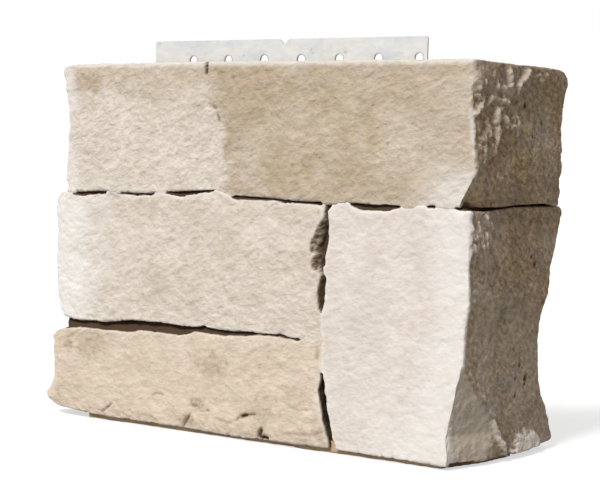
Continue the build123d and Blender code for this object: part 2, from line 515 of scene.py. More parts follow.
def drawn_out(tree, place, scale, rotation=(0, 0, 0)):
    """Coordinates on which a pattern is drawn out by the scale along turned axes."""
    sockets = {"Vector": place, "Rotation": rotation, "Scale": scale}
    return add_node(tree, "ShaderNodeMapping", sockets, vector_type="TEXTURE").outputs["Vector"]


def cast_stone(name, wash, grain, slant, colours):
    """Cast stone: pigmented concrete from a mould of split limestone. Dry and chalky, with a colour wash
    that wanders, short darker tears along the grain, sand that shows as fine speckle, whitish bloom on
    the worn arrises, partly a painted highlight there, and brown dirt in the joints, partly painted shade
    there. The wash is the stone's own colour, grain the strength of its texture and slant how its tears
    rise. The attributes tan, brown, pale and grime say where the other colours lie; brown also paints
    shade on the return."""
    material, tree, output, place = new_material(name)
    mottle = texture(tree, place, 24, 3.0)
    colour = mix(tree, remap(tree, mottle, 0.4, 0.7, 0.0, 0.25), (*wash, 1), (*colours.tan, 1))
    colour = coat(tree, read(tree, "tan"), colour, colours.tan)
    colour = coat(tree, blotches(tree, place, 17, 0.55, 0.7, 0.3, roughness=0.5), colour, colours.blush)
    colour = coat(tree, blotches(tree, place, 15, 0.62, 0.76, 0.18), colour, colours.ochre)
    # The brown and its umber patches on the return are partly its warmer colour and partly painted shade on
    # that side
    brown = read(tree, "brown")
    umber = mix(tree, remap(tree, mottle, 0.42, 0.62), (*colours.brown, 1), (*colours.slate, 1))
    umber = coat(tree, blotches(tree, place, 21, 0.5, 0.66, 0.45), umber, colours.olive)
    colour = mix(tree, brown, colour, umber)
    # Tears lie along the slant on both faces, as x plus y is the length round the corner, and ripple
    slanted = drawn_out(tree, place, (1.35, 4.0, 1.0), (0, -slant, radians(45)))
    ripple = add_node(tree, "ShaderNodeTexNoise", {"Vector": place, "Scale": per_mm(4.5), "Detail": 2.0})
    reach = (0.0025, 0.0025, 0.0025)
    sockets = {0: ripple.outputs["Color"], 1: reach, 2: slanted}
    bent = add_node(tree, "ShaderNodeVectorMath", sockets, operation="MULTIPLY_ADD").outputs["Vector"]
    tears = texture(tree, bent, 3.0, 2.5, 0.55)
    # The upper beds aren't split, so they are smoother
    normal = add_node(tree, "ShaderNodeNewGeometry").outputs["True Normal"]
    upwards = add_node(tree, "ShaderNodeSeparateXYZ", {0: normal}).outputs["Z"]
    split = remap(tree, upwards, 0.8, 0.97, 1.0, 0.2)
    streaks = remap(tree, tears, 0.3, 0.7, 1 - 0.13 * grain, 1 + 0.06 * grain)
    colour = mix(tree, split, colour, streaks, "MULTIPLY")
    sand = texture(tree, place, 1.4)
    speck = remap(tree, sand, 0.3, 0.7, 1 - 0.035 * grain, 1 + 0.035 * grain)
    colour = mix(tree, 1.0, colour, speck, "MULTIPLY")
    # The brown wash, partly painted shade on the return, has pooled unevenly
    leaning = drawn_out(tree, place, (1.0, 1.9, 1.0), (radians(-24), 0, 0))
    pooled = remap(tree, texture(tree, leaning, 2.3, 3.0, 0.65), 0.36, 0.66, 1.26, 0.54)
    colour = mix(tree, brown, colour, mix(tree, 1.0, colour, pooled, "MULTIPLY"))
    colour = coat(tree, blotches(tree, place, 3.0, 0.64, 0.74, 0.25 * grain), colour, colours.grime)
    # Bloom lightens worn edges, ends and the corner arris, partly as a painted highlight; grime darkens
    # joints, cracks and pits, partly as painted shade
    colour = coat(tree, read(tree, "pale"), colour, colours.pale)
    colour = coat(tree, read(tree, "grime"), colour, colours.grime)
    height = maths(tree, "MULTIPLY_ADD", sand, 0.2, tears)
    strength = remap(tree, read(tree, "pale"), 0.0, 1.0, grain, 0.45 * grain)
    strength = maths(tree, "MULTIPLY", strength, split)
    bump = add_node(tree, "ShaderNodeBump", {"Strength": strength, "Distance": 0.0011, "Height": height})
    sockets = {"Base Color": colour, "Roughness": 0.93, "Specular IOR Level": 0.2, "IOR": 1.45}
    shader = add_node(tree, "ShaderNodeBsdfPrincipled", {**sockets, "Normal": bump.outputs[0]})
    tree.links.new(shader.outputs[0], output.inputs["Surface"])
    return material


def galvanised_steel(colours):
    """Galvanised steel: hot-dipped sheet. Dull grey-white zinc with a faint spangle of crystals, bluish
    and brownish blotches where it has weathered, and darker bare steel on the sheared edges, which lie
    between the two faces of the sheet, and round the punched holes, where the ring is also painted shade of
    each hole's inner wall."""
    material, tree, output, place = new_material("galvanised_steel")
    strip = drawn_out(tree, place, (3.0, 1.0, 1.0))
    bluish = blotches(tree, strip, 12, 0.46, 0.68, 1.0, 3.0)
    colour = coat(tree, bluish, (*colours.zinc, 1), colours.zinc_blue)
    streaks = remap(tree, texture(tree, strip, 2.4, 3.0, 0.7), 0.3, 0.7, 0.93, 1.05)
    colour = mix(tree, 1.0, colour, streaks, "MULTIPLY")
    colour = coat(tree, blotches(tree, place, 11, 0.58, 0.78, 0.7, 3.0), colour, colours.rust)
    colour = coat(tree, blotches(tree, place, 3.5, 0.68, 0.78, 0.35), colour, colours.steel)
    spangle = add_node(tree, "ShaderNodeTexVoronoi", {"Vector": place, "Scale": per_mm(4.0)}, feature="F1")
    crystal = add_node(tree, "ShaderNodeSeparateColor", {0: spangle.outputs["Color"]}).outputs[0]
    colour = mix(tree, 1.0, colour, remap(tree, crystal, 0.0, 1.0, 0.97, 1.02), "MULTIPLY")
    x, y, z = add_node(tree, "ShaderNodeSeparateXYZ", {0: place}).outputs
    middle, reach = flange_high[1] - 0.5 * flange_gauge * MM, 0.42 * flange_gauge * MM
    offset = maths(tree, "ABSOLUTE", maths(tree, "SUBTRACT", y, middle))
    colour = coat(tree, remap(tree, offset, reach, 1.1 * reach, 0.85, 0.0), colour, colours.steel)
    # Dark rim of each punched hole, bare steel and painted shade of its inner wall, by the distance from the
    # nearest of the evenly spaced centres
    aside = maths(tree, "SUBTRACT", x, hole_x * MM)
    above = maths(tree, "SUBTRACT", z, hole_z * MM)
    nearest = maths(tree, "PINGPONG", aside, 0.5 * hole_pitch * MM)
    across = add_node(tree, "ShaderNodeCombineXYZ", {0: nearest, 1: above}).outputs[0]
    away = add_node(tree, "ShaderNodeVectorMath", {0: across}, operation="LENGTH").outputs["Value"]
    rim = remap(tree, away, (hole_radius + 0.1) * MM, (hole_radius + 0.8) * MM, 0.5, 0.0)
    row_end = 3.5 * hole_pitch * MM
    punched = remap(tree, maths(tree, "ABSOLUTE", aside), row_end - 0.1 * hole_pitch * MM, row_end, 1.0, 0.0)
    colour = coat(tree, maths(tree, "MULTIPLY", rim, punched), colour, colours.steel)
    height = texture(tree, place, 3.0)
    bump = add_node(tree, "ShaderNodeBump", {"Strength": 0.2, "Distance": 0.0002, "Height": height})
    roughness = remap(tree, crystal, 0.0, 1.0, 0.45, 0.6)
    sockets = {"Base Color": colour, "Metallic": 0.35, "Roughness": roughness, "Normal": bump.outputs[0]}
    shader = add_node(tree, "ShaderNodeBsdfPrincipled", sockets)
    tree.links.new(shader.outputs[0], output.inputs["Surface"])
    return material


def tint(name, description, code):
    """A colour to choose, with this sRGB hex colour as its default."""
    about = {"name": name, "description": description, "subtype": "COLOR", "default": linear(code)}
    return bpy.props.FloatVectorProperty(**about)


class StoneColours(bpy.types.PropertyGroup):
    """Colours of the casting and of its flange"""

    cream: tint("Cream", "Top course and middle stone", "#DBD0C4")
    sand: tint("Sand", "Lowest stone on the left", "#DDCDBA")
    ivory: tint("Ivory", "Corner stone", "#E2D9D1")
    tan: tint("Tan", "Wash that wanders over the stones", "#B8A68D")
    # Bloom is partly whitish stone and partly a painted highlight on worn edges and ends
    pale: tint("Bloom", "Whitish bloom on ends and worn arrises", "#E8E3DD")
    blush: tint("Blush", "Pinkish patches of the wash", "#DCC9BB")
    # Brown is partly the return's warmer colour and partly painted shade on that side
    brown: tint("Brown", "Brown wash of the return", "#A28A6E")
    slate: tint("Slate", "Greyer patches of the return", "#96836F")
    olive: tint("Olive", "Yellowish patches of the return", "#9F8A60")
    ochre: tint("Ochre", "Faint iron stains, and the foot", "#CFAE86")
    # Grime is partly dirt and partly painted shade in joints, cracks, pits and under the stones
    grime: tint("Grime", "Dirt in the joints and under the stones", "#4D3B2B")
    zinc: tint("Zinc", "Coating of the flange", "#DBDBD9")
    zinc_blue: tint("Zinc, bluish", "Weathered blotches of the coating", "#CBD3D7")
    rust: tint("Rust", "Faint brownish stains of the coating", "#D6C2B1")
    steel: tint("Bare steel", "Punched and sheared edges", "#6E6C6A")


def length(name, description, default):
    """A size to choose, in metres."""
    return bpy.props.FloatProperty(name=name, description=description, unit="LENGTH", default=default)


class StoneSizes(bpy.types.PropertyGroup):
    """Relief of the split faces"""

    swell: length("Swell", "Height of the slow waves of a split face", 0.0007)
    tears: length("Tears", "Height of the tears along the grain", 0.0007)
    grit: length("Grit", "Height of the grains", 0.00016)
    arris: length("Arris", "Radius of the worn outer edges", 0.0014)
    pitch: length("Grid", "Spacing of the points of a face", 0.00075)


def relief_sizes():
    """Swell, tears and grit in millimetres."""
    sizes = bpy.context.scene.stone_sizes
    return sizes.swell / MM, sizes.tears / MM, sizes.grit / MM


def hand_over(piece, finish, **shares):
    """Stores the shares that the material reads, and lets the piece stand for the casting."""
    for name, values in shares.items():
        store(piece, name, values)
    piece.data.materials.append(finish)
    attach(piece, "root")
    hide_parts("cast_stone_body")


def carve(name, low, high, outline, has_return, seed, slant, finish, features, paint):
    """Makes one stone: a block, rounded, roughened along its outward direction, bent to its outline, then
    chipped, bevelled and scored, with splinters and pits on its return, its upper bed lifted into the
    joint and the rebate opened. paint gets the finished points, their distance from the edges, the share
    of freshly cut stone and the seed, and gives the shares of tan, brown and bloom; brown is partly
    painted shade and bloom partly a painted highlight. Backs and hidden beds get plain shares. Joints,
    cracks and pits are darkened with dirt and painted shade."""
    sizes = bpy.context.scene.stone_sizes
    pitch = sizes.pitch / MM
    back = leg - 0.6
    wall = (wall_x + 0.6, back) if has_return else None
    if has_return:
        xs = spread((low[0], wall[0], high[0]), (pitch, pitch))
        ys = spread((low[1], back, high[1]), (pitch, pitch))
    else:
        high = (high[0], back, high[2])
        xs = spread((low[0], high[0]), (pitch,))
        ys = spread((low[1], back), (pitch,))
    zs = spread((low[2], high[2]), (pitch,))
    base, quads, sides = block(xs, ys, zs, wall)
    points, out = round_off(base, low, high, sizes.arris / MM, has_return)
    relief = features.get("roughness", 1.0) * split_relief(base, seed, slant, relief_sizes())
    relief *= 1 - 0.6 * out[:, 2] ** 2
    edge = edge_distance(base, low, high if has_return else (high[0], 1e3, high[2]))
    nibble = np.maximum(layered(base, 6, seed + 9, 3, 0.6), 0) * (1 - 0.7 * step(15, 45, base[:, 1]))
    relief -= features.get("nibble", 1.2) * nibble * falloff(edge, 2.4)
    broken = np.zeros(len(base))
    if "plated" in features:
        broken = features["plated"](base) * splinters(base, 6.0, seed + 30)
    points = points + out * relief[:, None]
    points[:, 0] += broken
    if "lean" in features:
        points[:, 0] += features["lean"](base)
    points[:, 1] += skin * (1 - step(3, 12, points[:, 1]))
    points = stretch(points, low, high, outline, has_return)
    bare, dirt_and_shade = np.zeros(len(points)), np.zeros(len(points))
    if "chip" in features:
        corner, legs, kept = features["chip"]
        rough = 0.5 * layered(base, 12, seed + 20, 4, 0.6) - along(kept, points[:, 2])
        points, bare = chip(points, corner, legs, rough)
    if "facet" in features:
        line, slope = features["facet"]
        points, fresh = bevel(points, line, slope, 1.5 * layered(base, 4.4, seed + 21, 3, 0.65))
        # The facet is darkened, partly stained and partly painted shade as it turns from the light, fully
        # where it lies deep in the joint
        mottled = step(-0.25, 0.25, layered(points, 2.2, seed + 22, 2, 0.7))
        deep_in_shade = np.maximum(step(4, 7, points[:, 1]), within(((70.5, 91),), points[:, 2]))
        dirt_and_shade = np.maximum(dirt_and_shade, fresh * np.maximum(0.1 + 0.8 * mottled, deep_in_shade))
        bare = 0.7 * fresh
    points, rubbed_and_lit = ridge(points, features.get("ridges", ()))
    points, scored = groove(points, features.get("cracks", ()))
    points, holed = pit(points, features.get("pits", ()))
    points, in_joint = fill_joint(points, out, low, high, features.get("rise", 0.0), has_return)
    points = keep_inside(open_rebate(points, base, 0.6))
    piece = make_piece(name, points, quads, sides)
    tan, brown, pale = paint(points, edge, bare, seed)
    # Beds and joint sides a few mm behind the face, and the lifted fill, are darkened with dirt and painted
    # shade
    behind = np.minimum(points[:, 1], np.where(points[:, 0] > wall_x, face_width - points[:, 0], 99))
    behind = np.minimum(behind, points[:, 0] - low[0] + 1)
    in_gap = (np.abs(out[:, 2]) > 0.8) | (out[:, 0] * features.get("upright", 0) > 0.8)
    dirt_and_shade = np.maximum(dirt_and_shade, step(1.0, 3.5, behind) * in_gap)
    dirt_and_shade = np.maximum(dirt_and_shade, in_joint) * (points[:, 2] < stone_height - 3)
    dirt_and_shade = np.maximum(dirt_and_shade, np.maximum(scored, holed))
    # Splinters lose their brown and gain bloom, partly wear and partly a painted highlight on their lit flanks
    rubbed_and_lit = np.maximum(0.75 * rubbed_and_lit, 0.3 * step(0.2, 1.2, broken))
    on_back = (base[:, 1] > back - 0.01) & (base[:, 0] < wall_x + 0.61)
    plain = np.maximum(on_back, (out[:, 2] > 0.8) * step(1.5, 4, behind))
    tan += plain * (0.7 - tan)
    brown = brown + plain * (0.4 - brown)
    pale = pale * (1 - plain)
    pale = np.maximum(pale, 0.1 * rubbed_and_lit)
    hand_over(piece, finish, tan=tan, brown=brown * (1 - rubbed_and_lit), pale=pale, grime=dirt_and_shade)


class LEDGER_OT_top_course(bpy.types.Operator):
    """Make the long stone on top, which turns the corner"""

    bl_idname = "ledger.top_course"
    bl_label = "Top course"

    def execute(self, context):
        low, high = (2.0, 0.0, 130.0), (face_width, return_depth, stone_height)
        outline = {
            "left": (
                (129, 1.6), (132, 2), (140, 0.6), (150, 2), (161, 2), (168, 3.2), (174, 2), (180, 1.8),
                (188, 0), (194, -1), (198, -2.8), (201, -3.2), (204, -0.6),
            ),
            "right": ((130, 2.4), (145, 3.4), (161, 2.6), (172, 1.4), (182, 0.4), (203, 0.9)),
            "end": (
                (130, -4.6), (134, -5), (139, -4.4), (145, -6), (150, -3), (161, -2.6), (172, -1.2),
                (179, 1), (187, 3), (192, 4.4), (197, 5.2), (201, 4.6), (203.4, 2), (205, -2.4),
            ),
            "under": (
                (2, 130.2), (12, 128.8), (28, 130.2), (35, 130.6), (45, 130), (71, 130.1), (78, 131.3),
                (92, 132.1), (113, 133.2), (119, 131.8), (125, 130.3), (138, 130.6), (165, 129.8),
                (184, 129.5), (201, 129.8), (222, 129.1), (240, 129.2), (254, 130.1), (270, 130.2),
                (307, 130.2), (323, 131.3), (356, 132), (371, 130),
            ),
            "over": (
                (0, 203.4), (12, 204.3), (60, 204.7), (250, 204.8), (274, 204.7), (365, 205.2),
                (377, 204.4),
            ),
            "touches": {"under": upper_touches},
        }

        def plated(points):
            """How splintered the return is: most near the corner, in patches."""
            on_side = (points[:, 0] > face_width - 0.5) * step(0.5, 3, points[:, 1])
            patchy = step(-0.5, 0.1, layered(points, 15, 71)) * step(203, 199, points[:, 2])
            near = step(62, 30, points[:, 1]) * step(138, 168, points[:, 2] - 0.5 * points[:, 1] + 14)
            return 1.3 * on_side * (0.25 + 0.75 * patchy) * near

        def paint(points, edge, bare, seed):
            """Cream at the left, tan past a soft seam, brown on the return and chip that is partly painted
            shade, bloom on the worn upper edge that is partly a painted highlight.
            """
            x, y, z = points.T
            seam = ((130, 122), (150, 120), (167, 117), (174, 113), (180, 109), (190, 105.5), (204, 105))
            wander = layered(points, 30, seed + 40, 3)
            frayed = 3 * wander + 5 * layered(points, 7, seed + 41, 3, 0.65)
            past_seam = step(-5, 7, x - along(seam, z) + frayed)
            fading = 1 - 0.28 * step(190, 262, x + 14 * wander)
            tan = past_seam * fading * (0.9 + 0.4 * wander)
            tan += (1 - past_seam) * step(172, 200, z + 14 * wander) * 0.5
            blots = layered(points, 9, seed + 43, 3, 0.65)
            tan = np.maximum(tan, 0.8 * step(1.1, 0.3, np.hypot(x - 14, z - 196) / 16 + 0.5 * blots))
            # The return and the chip are painted brown, partly their own colour and partly painted shade
            turned = np.maximum(step(1.5, 5, y) * (x > face_width - 20), y > leg)
            brown = np.maximum(turned, bare) * (0.9 + 0.2 * wander)
            # Bloom on the worn edges, along the top edge, beside the corner arris and at the left end is
            # partly a painted highlight
            lip_bloom_and_highlight = 0.55 * falloff(edge, 2.2) * step(-0.3, 0.5, wander)
            pale = np.maximum(lip_bloom_and_highlight, 0.5 * step(201, 203.2, z)) * (y < 4)
            pale = np.maximum(pale, 0.6 * step(235, 262, x) * step(162, 136, z) * (y < 2.5) * (1 - bare))
            pale = np.maximum(pale, 0.6 * step(13, 3, x + 5 * wander) * (y < 4))
            return tan, brown, pale

        features = {
            "chip": ((face_width + 0.6, 0, 129.6), (-6.4, 21, 12.5), ((120, 0), (210, 0))),
            "plated": plated,
            "nibble": 0.8,
            "ridges": [
                (8, 201.1, 7.3, 196.6, 3.4, 0.9), (6.3, 195.5, 6.7, 190.5, 2.6, 1.1),
                (11.1, 201.8, 12.8, 191.8, 2.0, 0.9), (25.4, 195, 25.7, 190.4, 1.3, 1.5),
                (39.1, 200.4, 39.4, 196.3, 2.0, 2.0), (59.3, 201.6, 55.1, 197.2, 1.6, 1.8),
                (55.1, 197.2, 49.7, 193.7, 1.6, 1.8), (49.7, 193.7, 48.9, 189.5, 1.4, 1.6),
                (72.2, 200.2, 76, 196.2, 1.2, 1.2), (80.4, 200.7, 76, 196.2, 1.2, 1.2),
                (11.2, 186.2, 9.4, 181.6, 1.4, 1.8), (9.4, 181.6, 3.5, 177.3, 1.4, 1.8),
                (5.9, 186.5, 8, 186, 1.4, 1.2), (19.6, 186.6, 16.7, 182.4, 1.4, 1.5),
                (27.1, 185.9, 38.1, 184.3, 1.5, 1.8), (23.2, 180.1, 32.9, 181, 1.3, 1.4),
                (25.4, 179.7, 24.8, 174, 2.4, 2.2), (24.8, 174, 26.2, 168.4, 2.4, 2.0),
                (26.3, 167.9, 21.7, 157.6, 1.6, 1.8), (15.1, 174.7, 17.8, 167.2, 1.6, 1.5),
                (35.4, 176.5, 36.9, 171.3, 1.2, 1.4), (39.2, 170.4, 43.5, 172.6, 1.0, 1.2),
                (48.7, 177.5, 50.2, 171.8, 1.1, 1.3), (45.7, 172.7, 48.3, 168, 1.1, 1.4),
                (8.5, 165.4, 9.6, 164.4, 1.6, 1.4), (11.9, 160.9, 11.2, 156.9, 1.4, 1.4),
                (6.7, 161.3, 7.8, 159.3, 1.0, 1.2), (33.2, 191.9, 34.4, 190.9, 1.2, 1.4),
                (38.6, 192.6, 40.7, 194.8, 1.2, 1.5), (44.2, 176.8, 45.5, 174.8, 1.0, 1.2),
            ],
            "pits": [
                (59.5, 183.7, 1.4, 1.6), (49.2, 184.8, 1.0, 1.0), (77.7, 174.8, 1.2, 1.2),
                (65.4, 167.5, 1.2, 1.0),
            ],
            "cracks": [
                (105.0, 209, 105.2, 198.4, 0.7, 7.0), (110, 180.2, 112.6, 178.8, 0.8, 1.0),
                (113.2, 175.4, 115.2, 172, 0.9, 1.2), (123.4, 195.9, 124.6, 195.4, 0.7, 0.8),
            ],
        }
        colours = context.scene.stone_colours
        slant = radians(27)
        finish = cast_stone("cast_stone_cream_and_tan", colours.cream, 1.0, slant, colours)
        carve("top_course", low, high, outline, True, 11, slant, finish, features, paint)
        return {"FINISHED"}


class LEDGER_OT_corner_stone(bpy.types.Operator):
    """Make the tall stone that turns the corner under the top course"""

    bl_idname = "ledger.corner_stone"
    bl_label = "Corner stone"

    def execute(self, context):
        low, high = (188.0, 0.0, 0.0), (face_width, return_depth, 128.6)
        outline = {
            "left": (
                (0, 198.4), (5, 195.5), (19, 192), (30, 189.8), (42, 188), (50, 188.8), (59, 187.4),
                (71, 186.6), (76, 188.4), (88, 189), (100, 187.6), (110, 189.8), (120, 189.4), (125, 189),
                (128, 191.4),
            ),
            "right": ((0, 0), (54, 0.2), (70, 0.4), (82, 2.4), (105, 1.6), (124, 0.8), (129, 2)),
            "end": (
                (-1, 0), (1.7, 3), (5, 1.5), (9, -0.6), (12.5, -2), (16, -4.4), (20, -6.2), (23, -9),
                (27, -12.6), (34, -16), (44, -17.8), (57, -19.4), (65, -18.6), (75, -16.6), (83, -12.8),
                (90, -11.2), (99, -9.4), (109, -4), (116, -1), (122, 2), (126, 3.2), (129, 0.6),
            ),
            "under": (
                (188, -2), (230, -2.4), (262, -2.6), (280, -2), (310, -1.6), (340, -1.8), (358, -1),
                (377, 0),
            ),
            "over": (
                (188, 128.2), (193, 129.2), (198, 129.5), (204, 127.9), (210, 126.6), (223, 126.9),
                (228, 127.7), (233, 128.8), (258, 129.6), (266, 129.6), (274, 128.6), (289, 128),
                (317, 130.1), (368, 130.3), (378, 129),
            ),
            "touches": {"over": upper_touches, "left": upright_touches},
        }

        def fresh_break(points):
            """Where the lower edge of the return broke lately: a patch, and a streak beside the chip."""
            y, z = points[:, 1], points[:, 2]
            crumbs = 2.4 * layered(points, 5, 67, 4, 0.75)
            low_patch = step(1, -1, np.hypot((y - 71) / 15, z / 9.5) * 9 - 9 + crumbs)
            aside = np.abs(y - 34 - 0.8 * (17.5 - z)) - 2.0
            streak = step(0.6, -0.6, aside + 0.5 * crumbs) * step(18.5, 17, z)
            return np.maximum(low_patch, streak) * (points[:, 0] > wall_x + 12)

        def plated(points):
            """How splintered the return is: at its top near the corner, and where it is freshly broken."""
            on_side = (points[:, 0] > face_width - 0.5) * step(0.5, 3, points[:, 1])
            top_end = 1.0 * step(26, 8, points[:, 1]) * step(90, 108, points[:, 2])
            return on_side * np.maximum(top_end, 0.3 * fresh_break(points))

        def lean(points):
            """The patch stands out at its foot and leans back above, so that it catches the light."""
            return 0.2 * (15 - points[:, 2]) * fresh_break(points) * (points[:, 0] > face_width - 0.5)

        def paint(points, edge, bare, seed):
            """Ivory with bloom beside the arris that is partly a painted highlight, brown on the return that
            is partly painted shade, mottled on the chip, and lighter on the broken patch, partly fresh stone
            and partly a painted highlight.
            """
            x, y, z = points.T
            wander = layered(points, 34, seed + 40, 3)
            tan = 0.04 + 0.2 * np.maximum(wander, 0)
            mottled = step(-0.3, 0.3, layered(points, 5, seed + 45, 3, 0.7))
            tan = np.maximum(tan, (0.4 + 0.6 * mottled) * bare)
            # The return and the chip are painted brown, partly their own colour and partly painted shade
            turned = np.maximum(step(1.5, 4, y) * (x > face_width - 20), y > leg)
            brown = np.maximum(turned, bare) * (0.8 + 0.14 * step(60, 112, z) + 0.2 * wander)
            # Bloom beside the arris, low on the face and on the worn edges is partly a painted highlight
            arris_bloom_and_highlight = step(240, 264, x + 6 * wander + 0.1 * (60 - z)) * (y < 3.4)
            pale = arris_bloom_and_highlight * (0.65 + 0.4 * wander)
            pale = np.maximum(pale, 0.7 * step(45, 10, z + 14 * wander) * step(205, 250, x) * (y < 3.4))
            pale = np.maximum(pale, 0.8 * falloff(edge, 1.8) * (y < 3))
            pale *= 1 - bare
            low_lip = 0.6 * step(22, 12, z + 6 * wander) * step(9, 3, y)
            pale = np.maximum(pale, bare * np.maximum(0.2, low_lip))
            # The broken patch and streak lose their brown and turn lighter, partly fresh stone and partly a
            # painted highlight
            fresh = fresh_break(points)
            tan = np.maximum(tan, 0.35 * fresh)
            brown = brown * (1 - (0.2 + 0.7 * mottled) * bare) * (1 - fresh)
            return tan, brown, np.maximum(pale, 0.1 * fresh)

        features = {
            "chip": ((face_width + 0.6, 0, -0.4), (-12, 52, 57), ((-5, 4.2), (4, 2.6), (12, 0), (60, 0))),
            "plated": plated,
            "lean": lean,
            "roughness": 0.6,
            "nibble": 0.9,
            "rise": 4.0,
            "upright": -1,
            "ridges": [
                (17.6, 125.9, 21.1, 120.7, 1.1, 1.2), (23.2, 121.7, 25.5, 119.1, 1.2, 1.2),
                (3.3, 121, 5.9, 113.8, 0.9, 1.1), (6.6, 117.9, 10.4, 108.6, 0.9, 1.3),
                (10.4, 122.9, 13, 115.7, 0.9, 1.1), (13.9, 118.8, 15.7, 107.5, 0.9, 1.3),
                (18.2, 116.6, 19.8, 109.4, 0.9, 1.1), (6.1, 110.8, 7.5, 105.7, 0.9, 1.0),
                (8.6, 45.4, 22.1, 32.8, 1.0, 0.8), (22.1, 32.8, 35, 20.7, 1.2, 0.9),
                (35, 18, 46, 4, 1.8, 1.6),
            ],
            "pits": [
                (69.9, 103.2, 1.0, 1.4), (73.7, 99.1, 1.2, 1.6), (55.8, 54.6, 0.9, 1.0),
                (63.3, 45.4, 1.1, 1.4), (70.3, 37.8, 1.5, 2.0), (59.3, 38.3, 1.0, 1.0),
                (70, 34.6, 1.0, 1.4), (58.9, 29.2, 1.0, 1.2), (44.5, 70.3, 0.9, 0.8),
            ],
        }
        colours = context.scene.stone_colours
        slant = radians(22)
        finish = cast_stone("cast_stone_ivory", colours.ivory, 0.6, slant, colours)
        carve("corner_stone", low, high, outline, True, 23, slant, finish, features, paint)
        return {"FINISHED"}


class LEDGER_OT_middle_stone(bpy.types.Operator):
    """Make the middle stone on the left"""

    bl_idname = "ledger.middle_stone"
    bl_label = "Middle stone"

    def execute(self, context):
        low, high = (0.0, 0.0, 55.0), (187.6, leg, 128.6)
        outline = {
            "left": (
                (53, 3), (56, 1), (60, -1), (66, -3), (75, -4.4), (86, -5.4), (97, -5.2), (111, -5.4),
                (117, -6.2), (125, -6), (128, -3),
            ),
            "right": ((55, 1), (70, 0), (129, 0.6)),
            "under": (
                (0, 54.6), (8, 53.1), (33, 53.7), (42, 54.9), (56, 56.5), (70, 56.3), (97, 55.6),
                (104, 56.5), (116, 55.6), (131, 56), (158, 56.2), (171, 54.9), (186, 54.2),
            ),
            "over": (
                (-4, 126.4), (4, 128), (19, 127.8), (28, 128.5), (35, 129.5), (39, 130.4), (45, 129.6),
                (55, 129.1), (71, 129.3), (78, 130.9), (85, 130), (93, 130), (106, 132), (113, 132.9),
                (119, 131.8), (125, 130), (131, 129.4), (149, 129.8), (165, 129), (187, 128.5),
            ),
            "touches": {"over": upper_touches, "under": lower_touches, "right": upright_touches},
        }
        facet = (
            (55, 190), (69, 190), (70.5, 185.9), (72.5, 184.3), (79, 183.4), (85, 183.8), (91, 185.5),
            (92, 184), (93, 179.6), (97, 178.8), (101.8, 181.6), (102.6, 178), (107.5, 177.6), (116, 182),
            (121, 185.4), (129, 186.6),
        )

        def paint(points, edge, bare, seed):
            """Cream with bloom at its left end that is partly a painted highlight where the rounded end turns
            to the light, tan on the facet.
            """
            x, y, z = points.T
            wander = layered(points, 30, seed + 40, 3)
            tan = 0.06 + 0.22 * np.maximum(wander, 0)
            # The bloom at the left end and on the worn edges is partly a painted highlight
            pale = 0.85 * step(46, 2, x + 14 * wander)
            pale = np.maximum(pale, 0.5 * falloff(edge, 1.8) * (y < 3))
            return np.maximum(tan, bare), 0 * x, pale * (1 - bare)

        features = {"facet": (facet, 1.6), "rise": 3.5, "upright": 1}
        colours = context.scene.stone_colours
        slant = radians(26)
        finish = cast_stone("cast_stone_cream", colours.cream, 0.9, slant, colours)
        carve("middle_stone", low, high, outline, False, 37, slant, finish, features, paint)
        return {"FINISHED"}


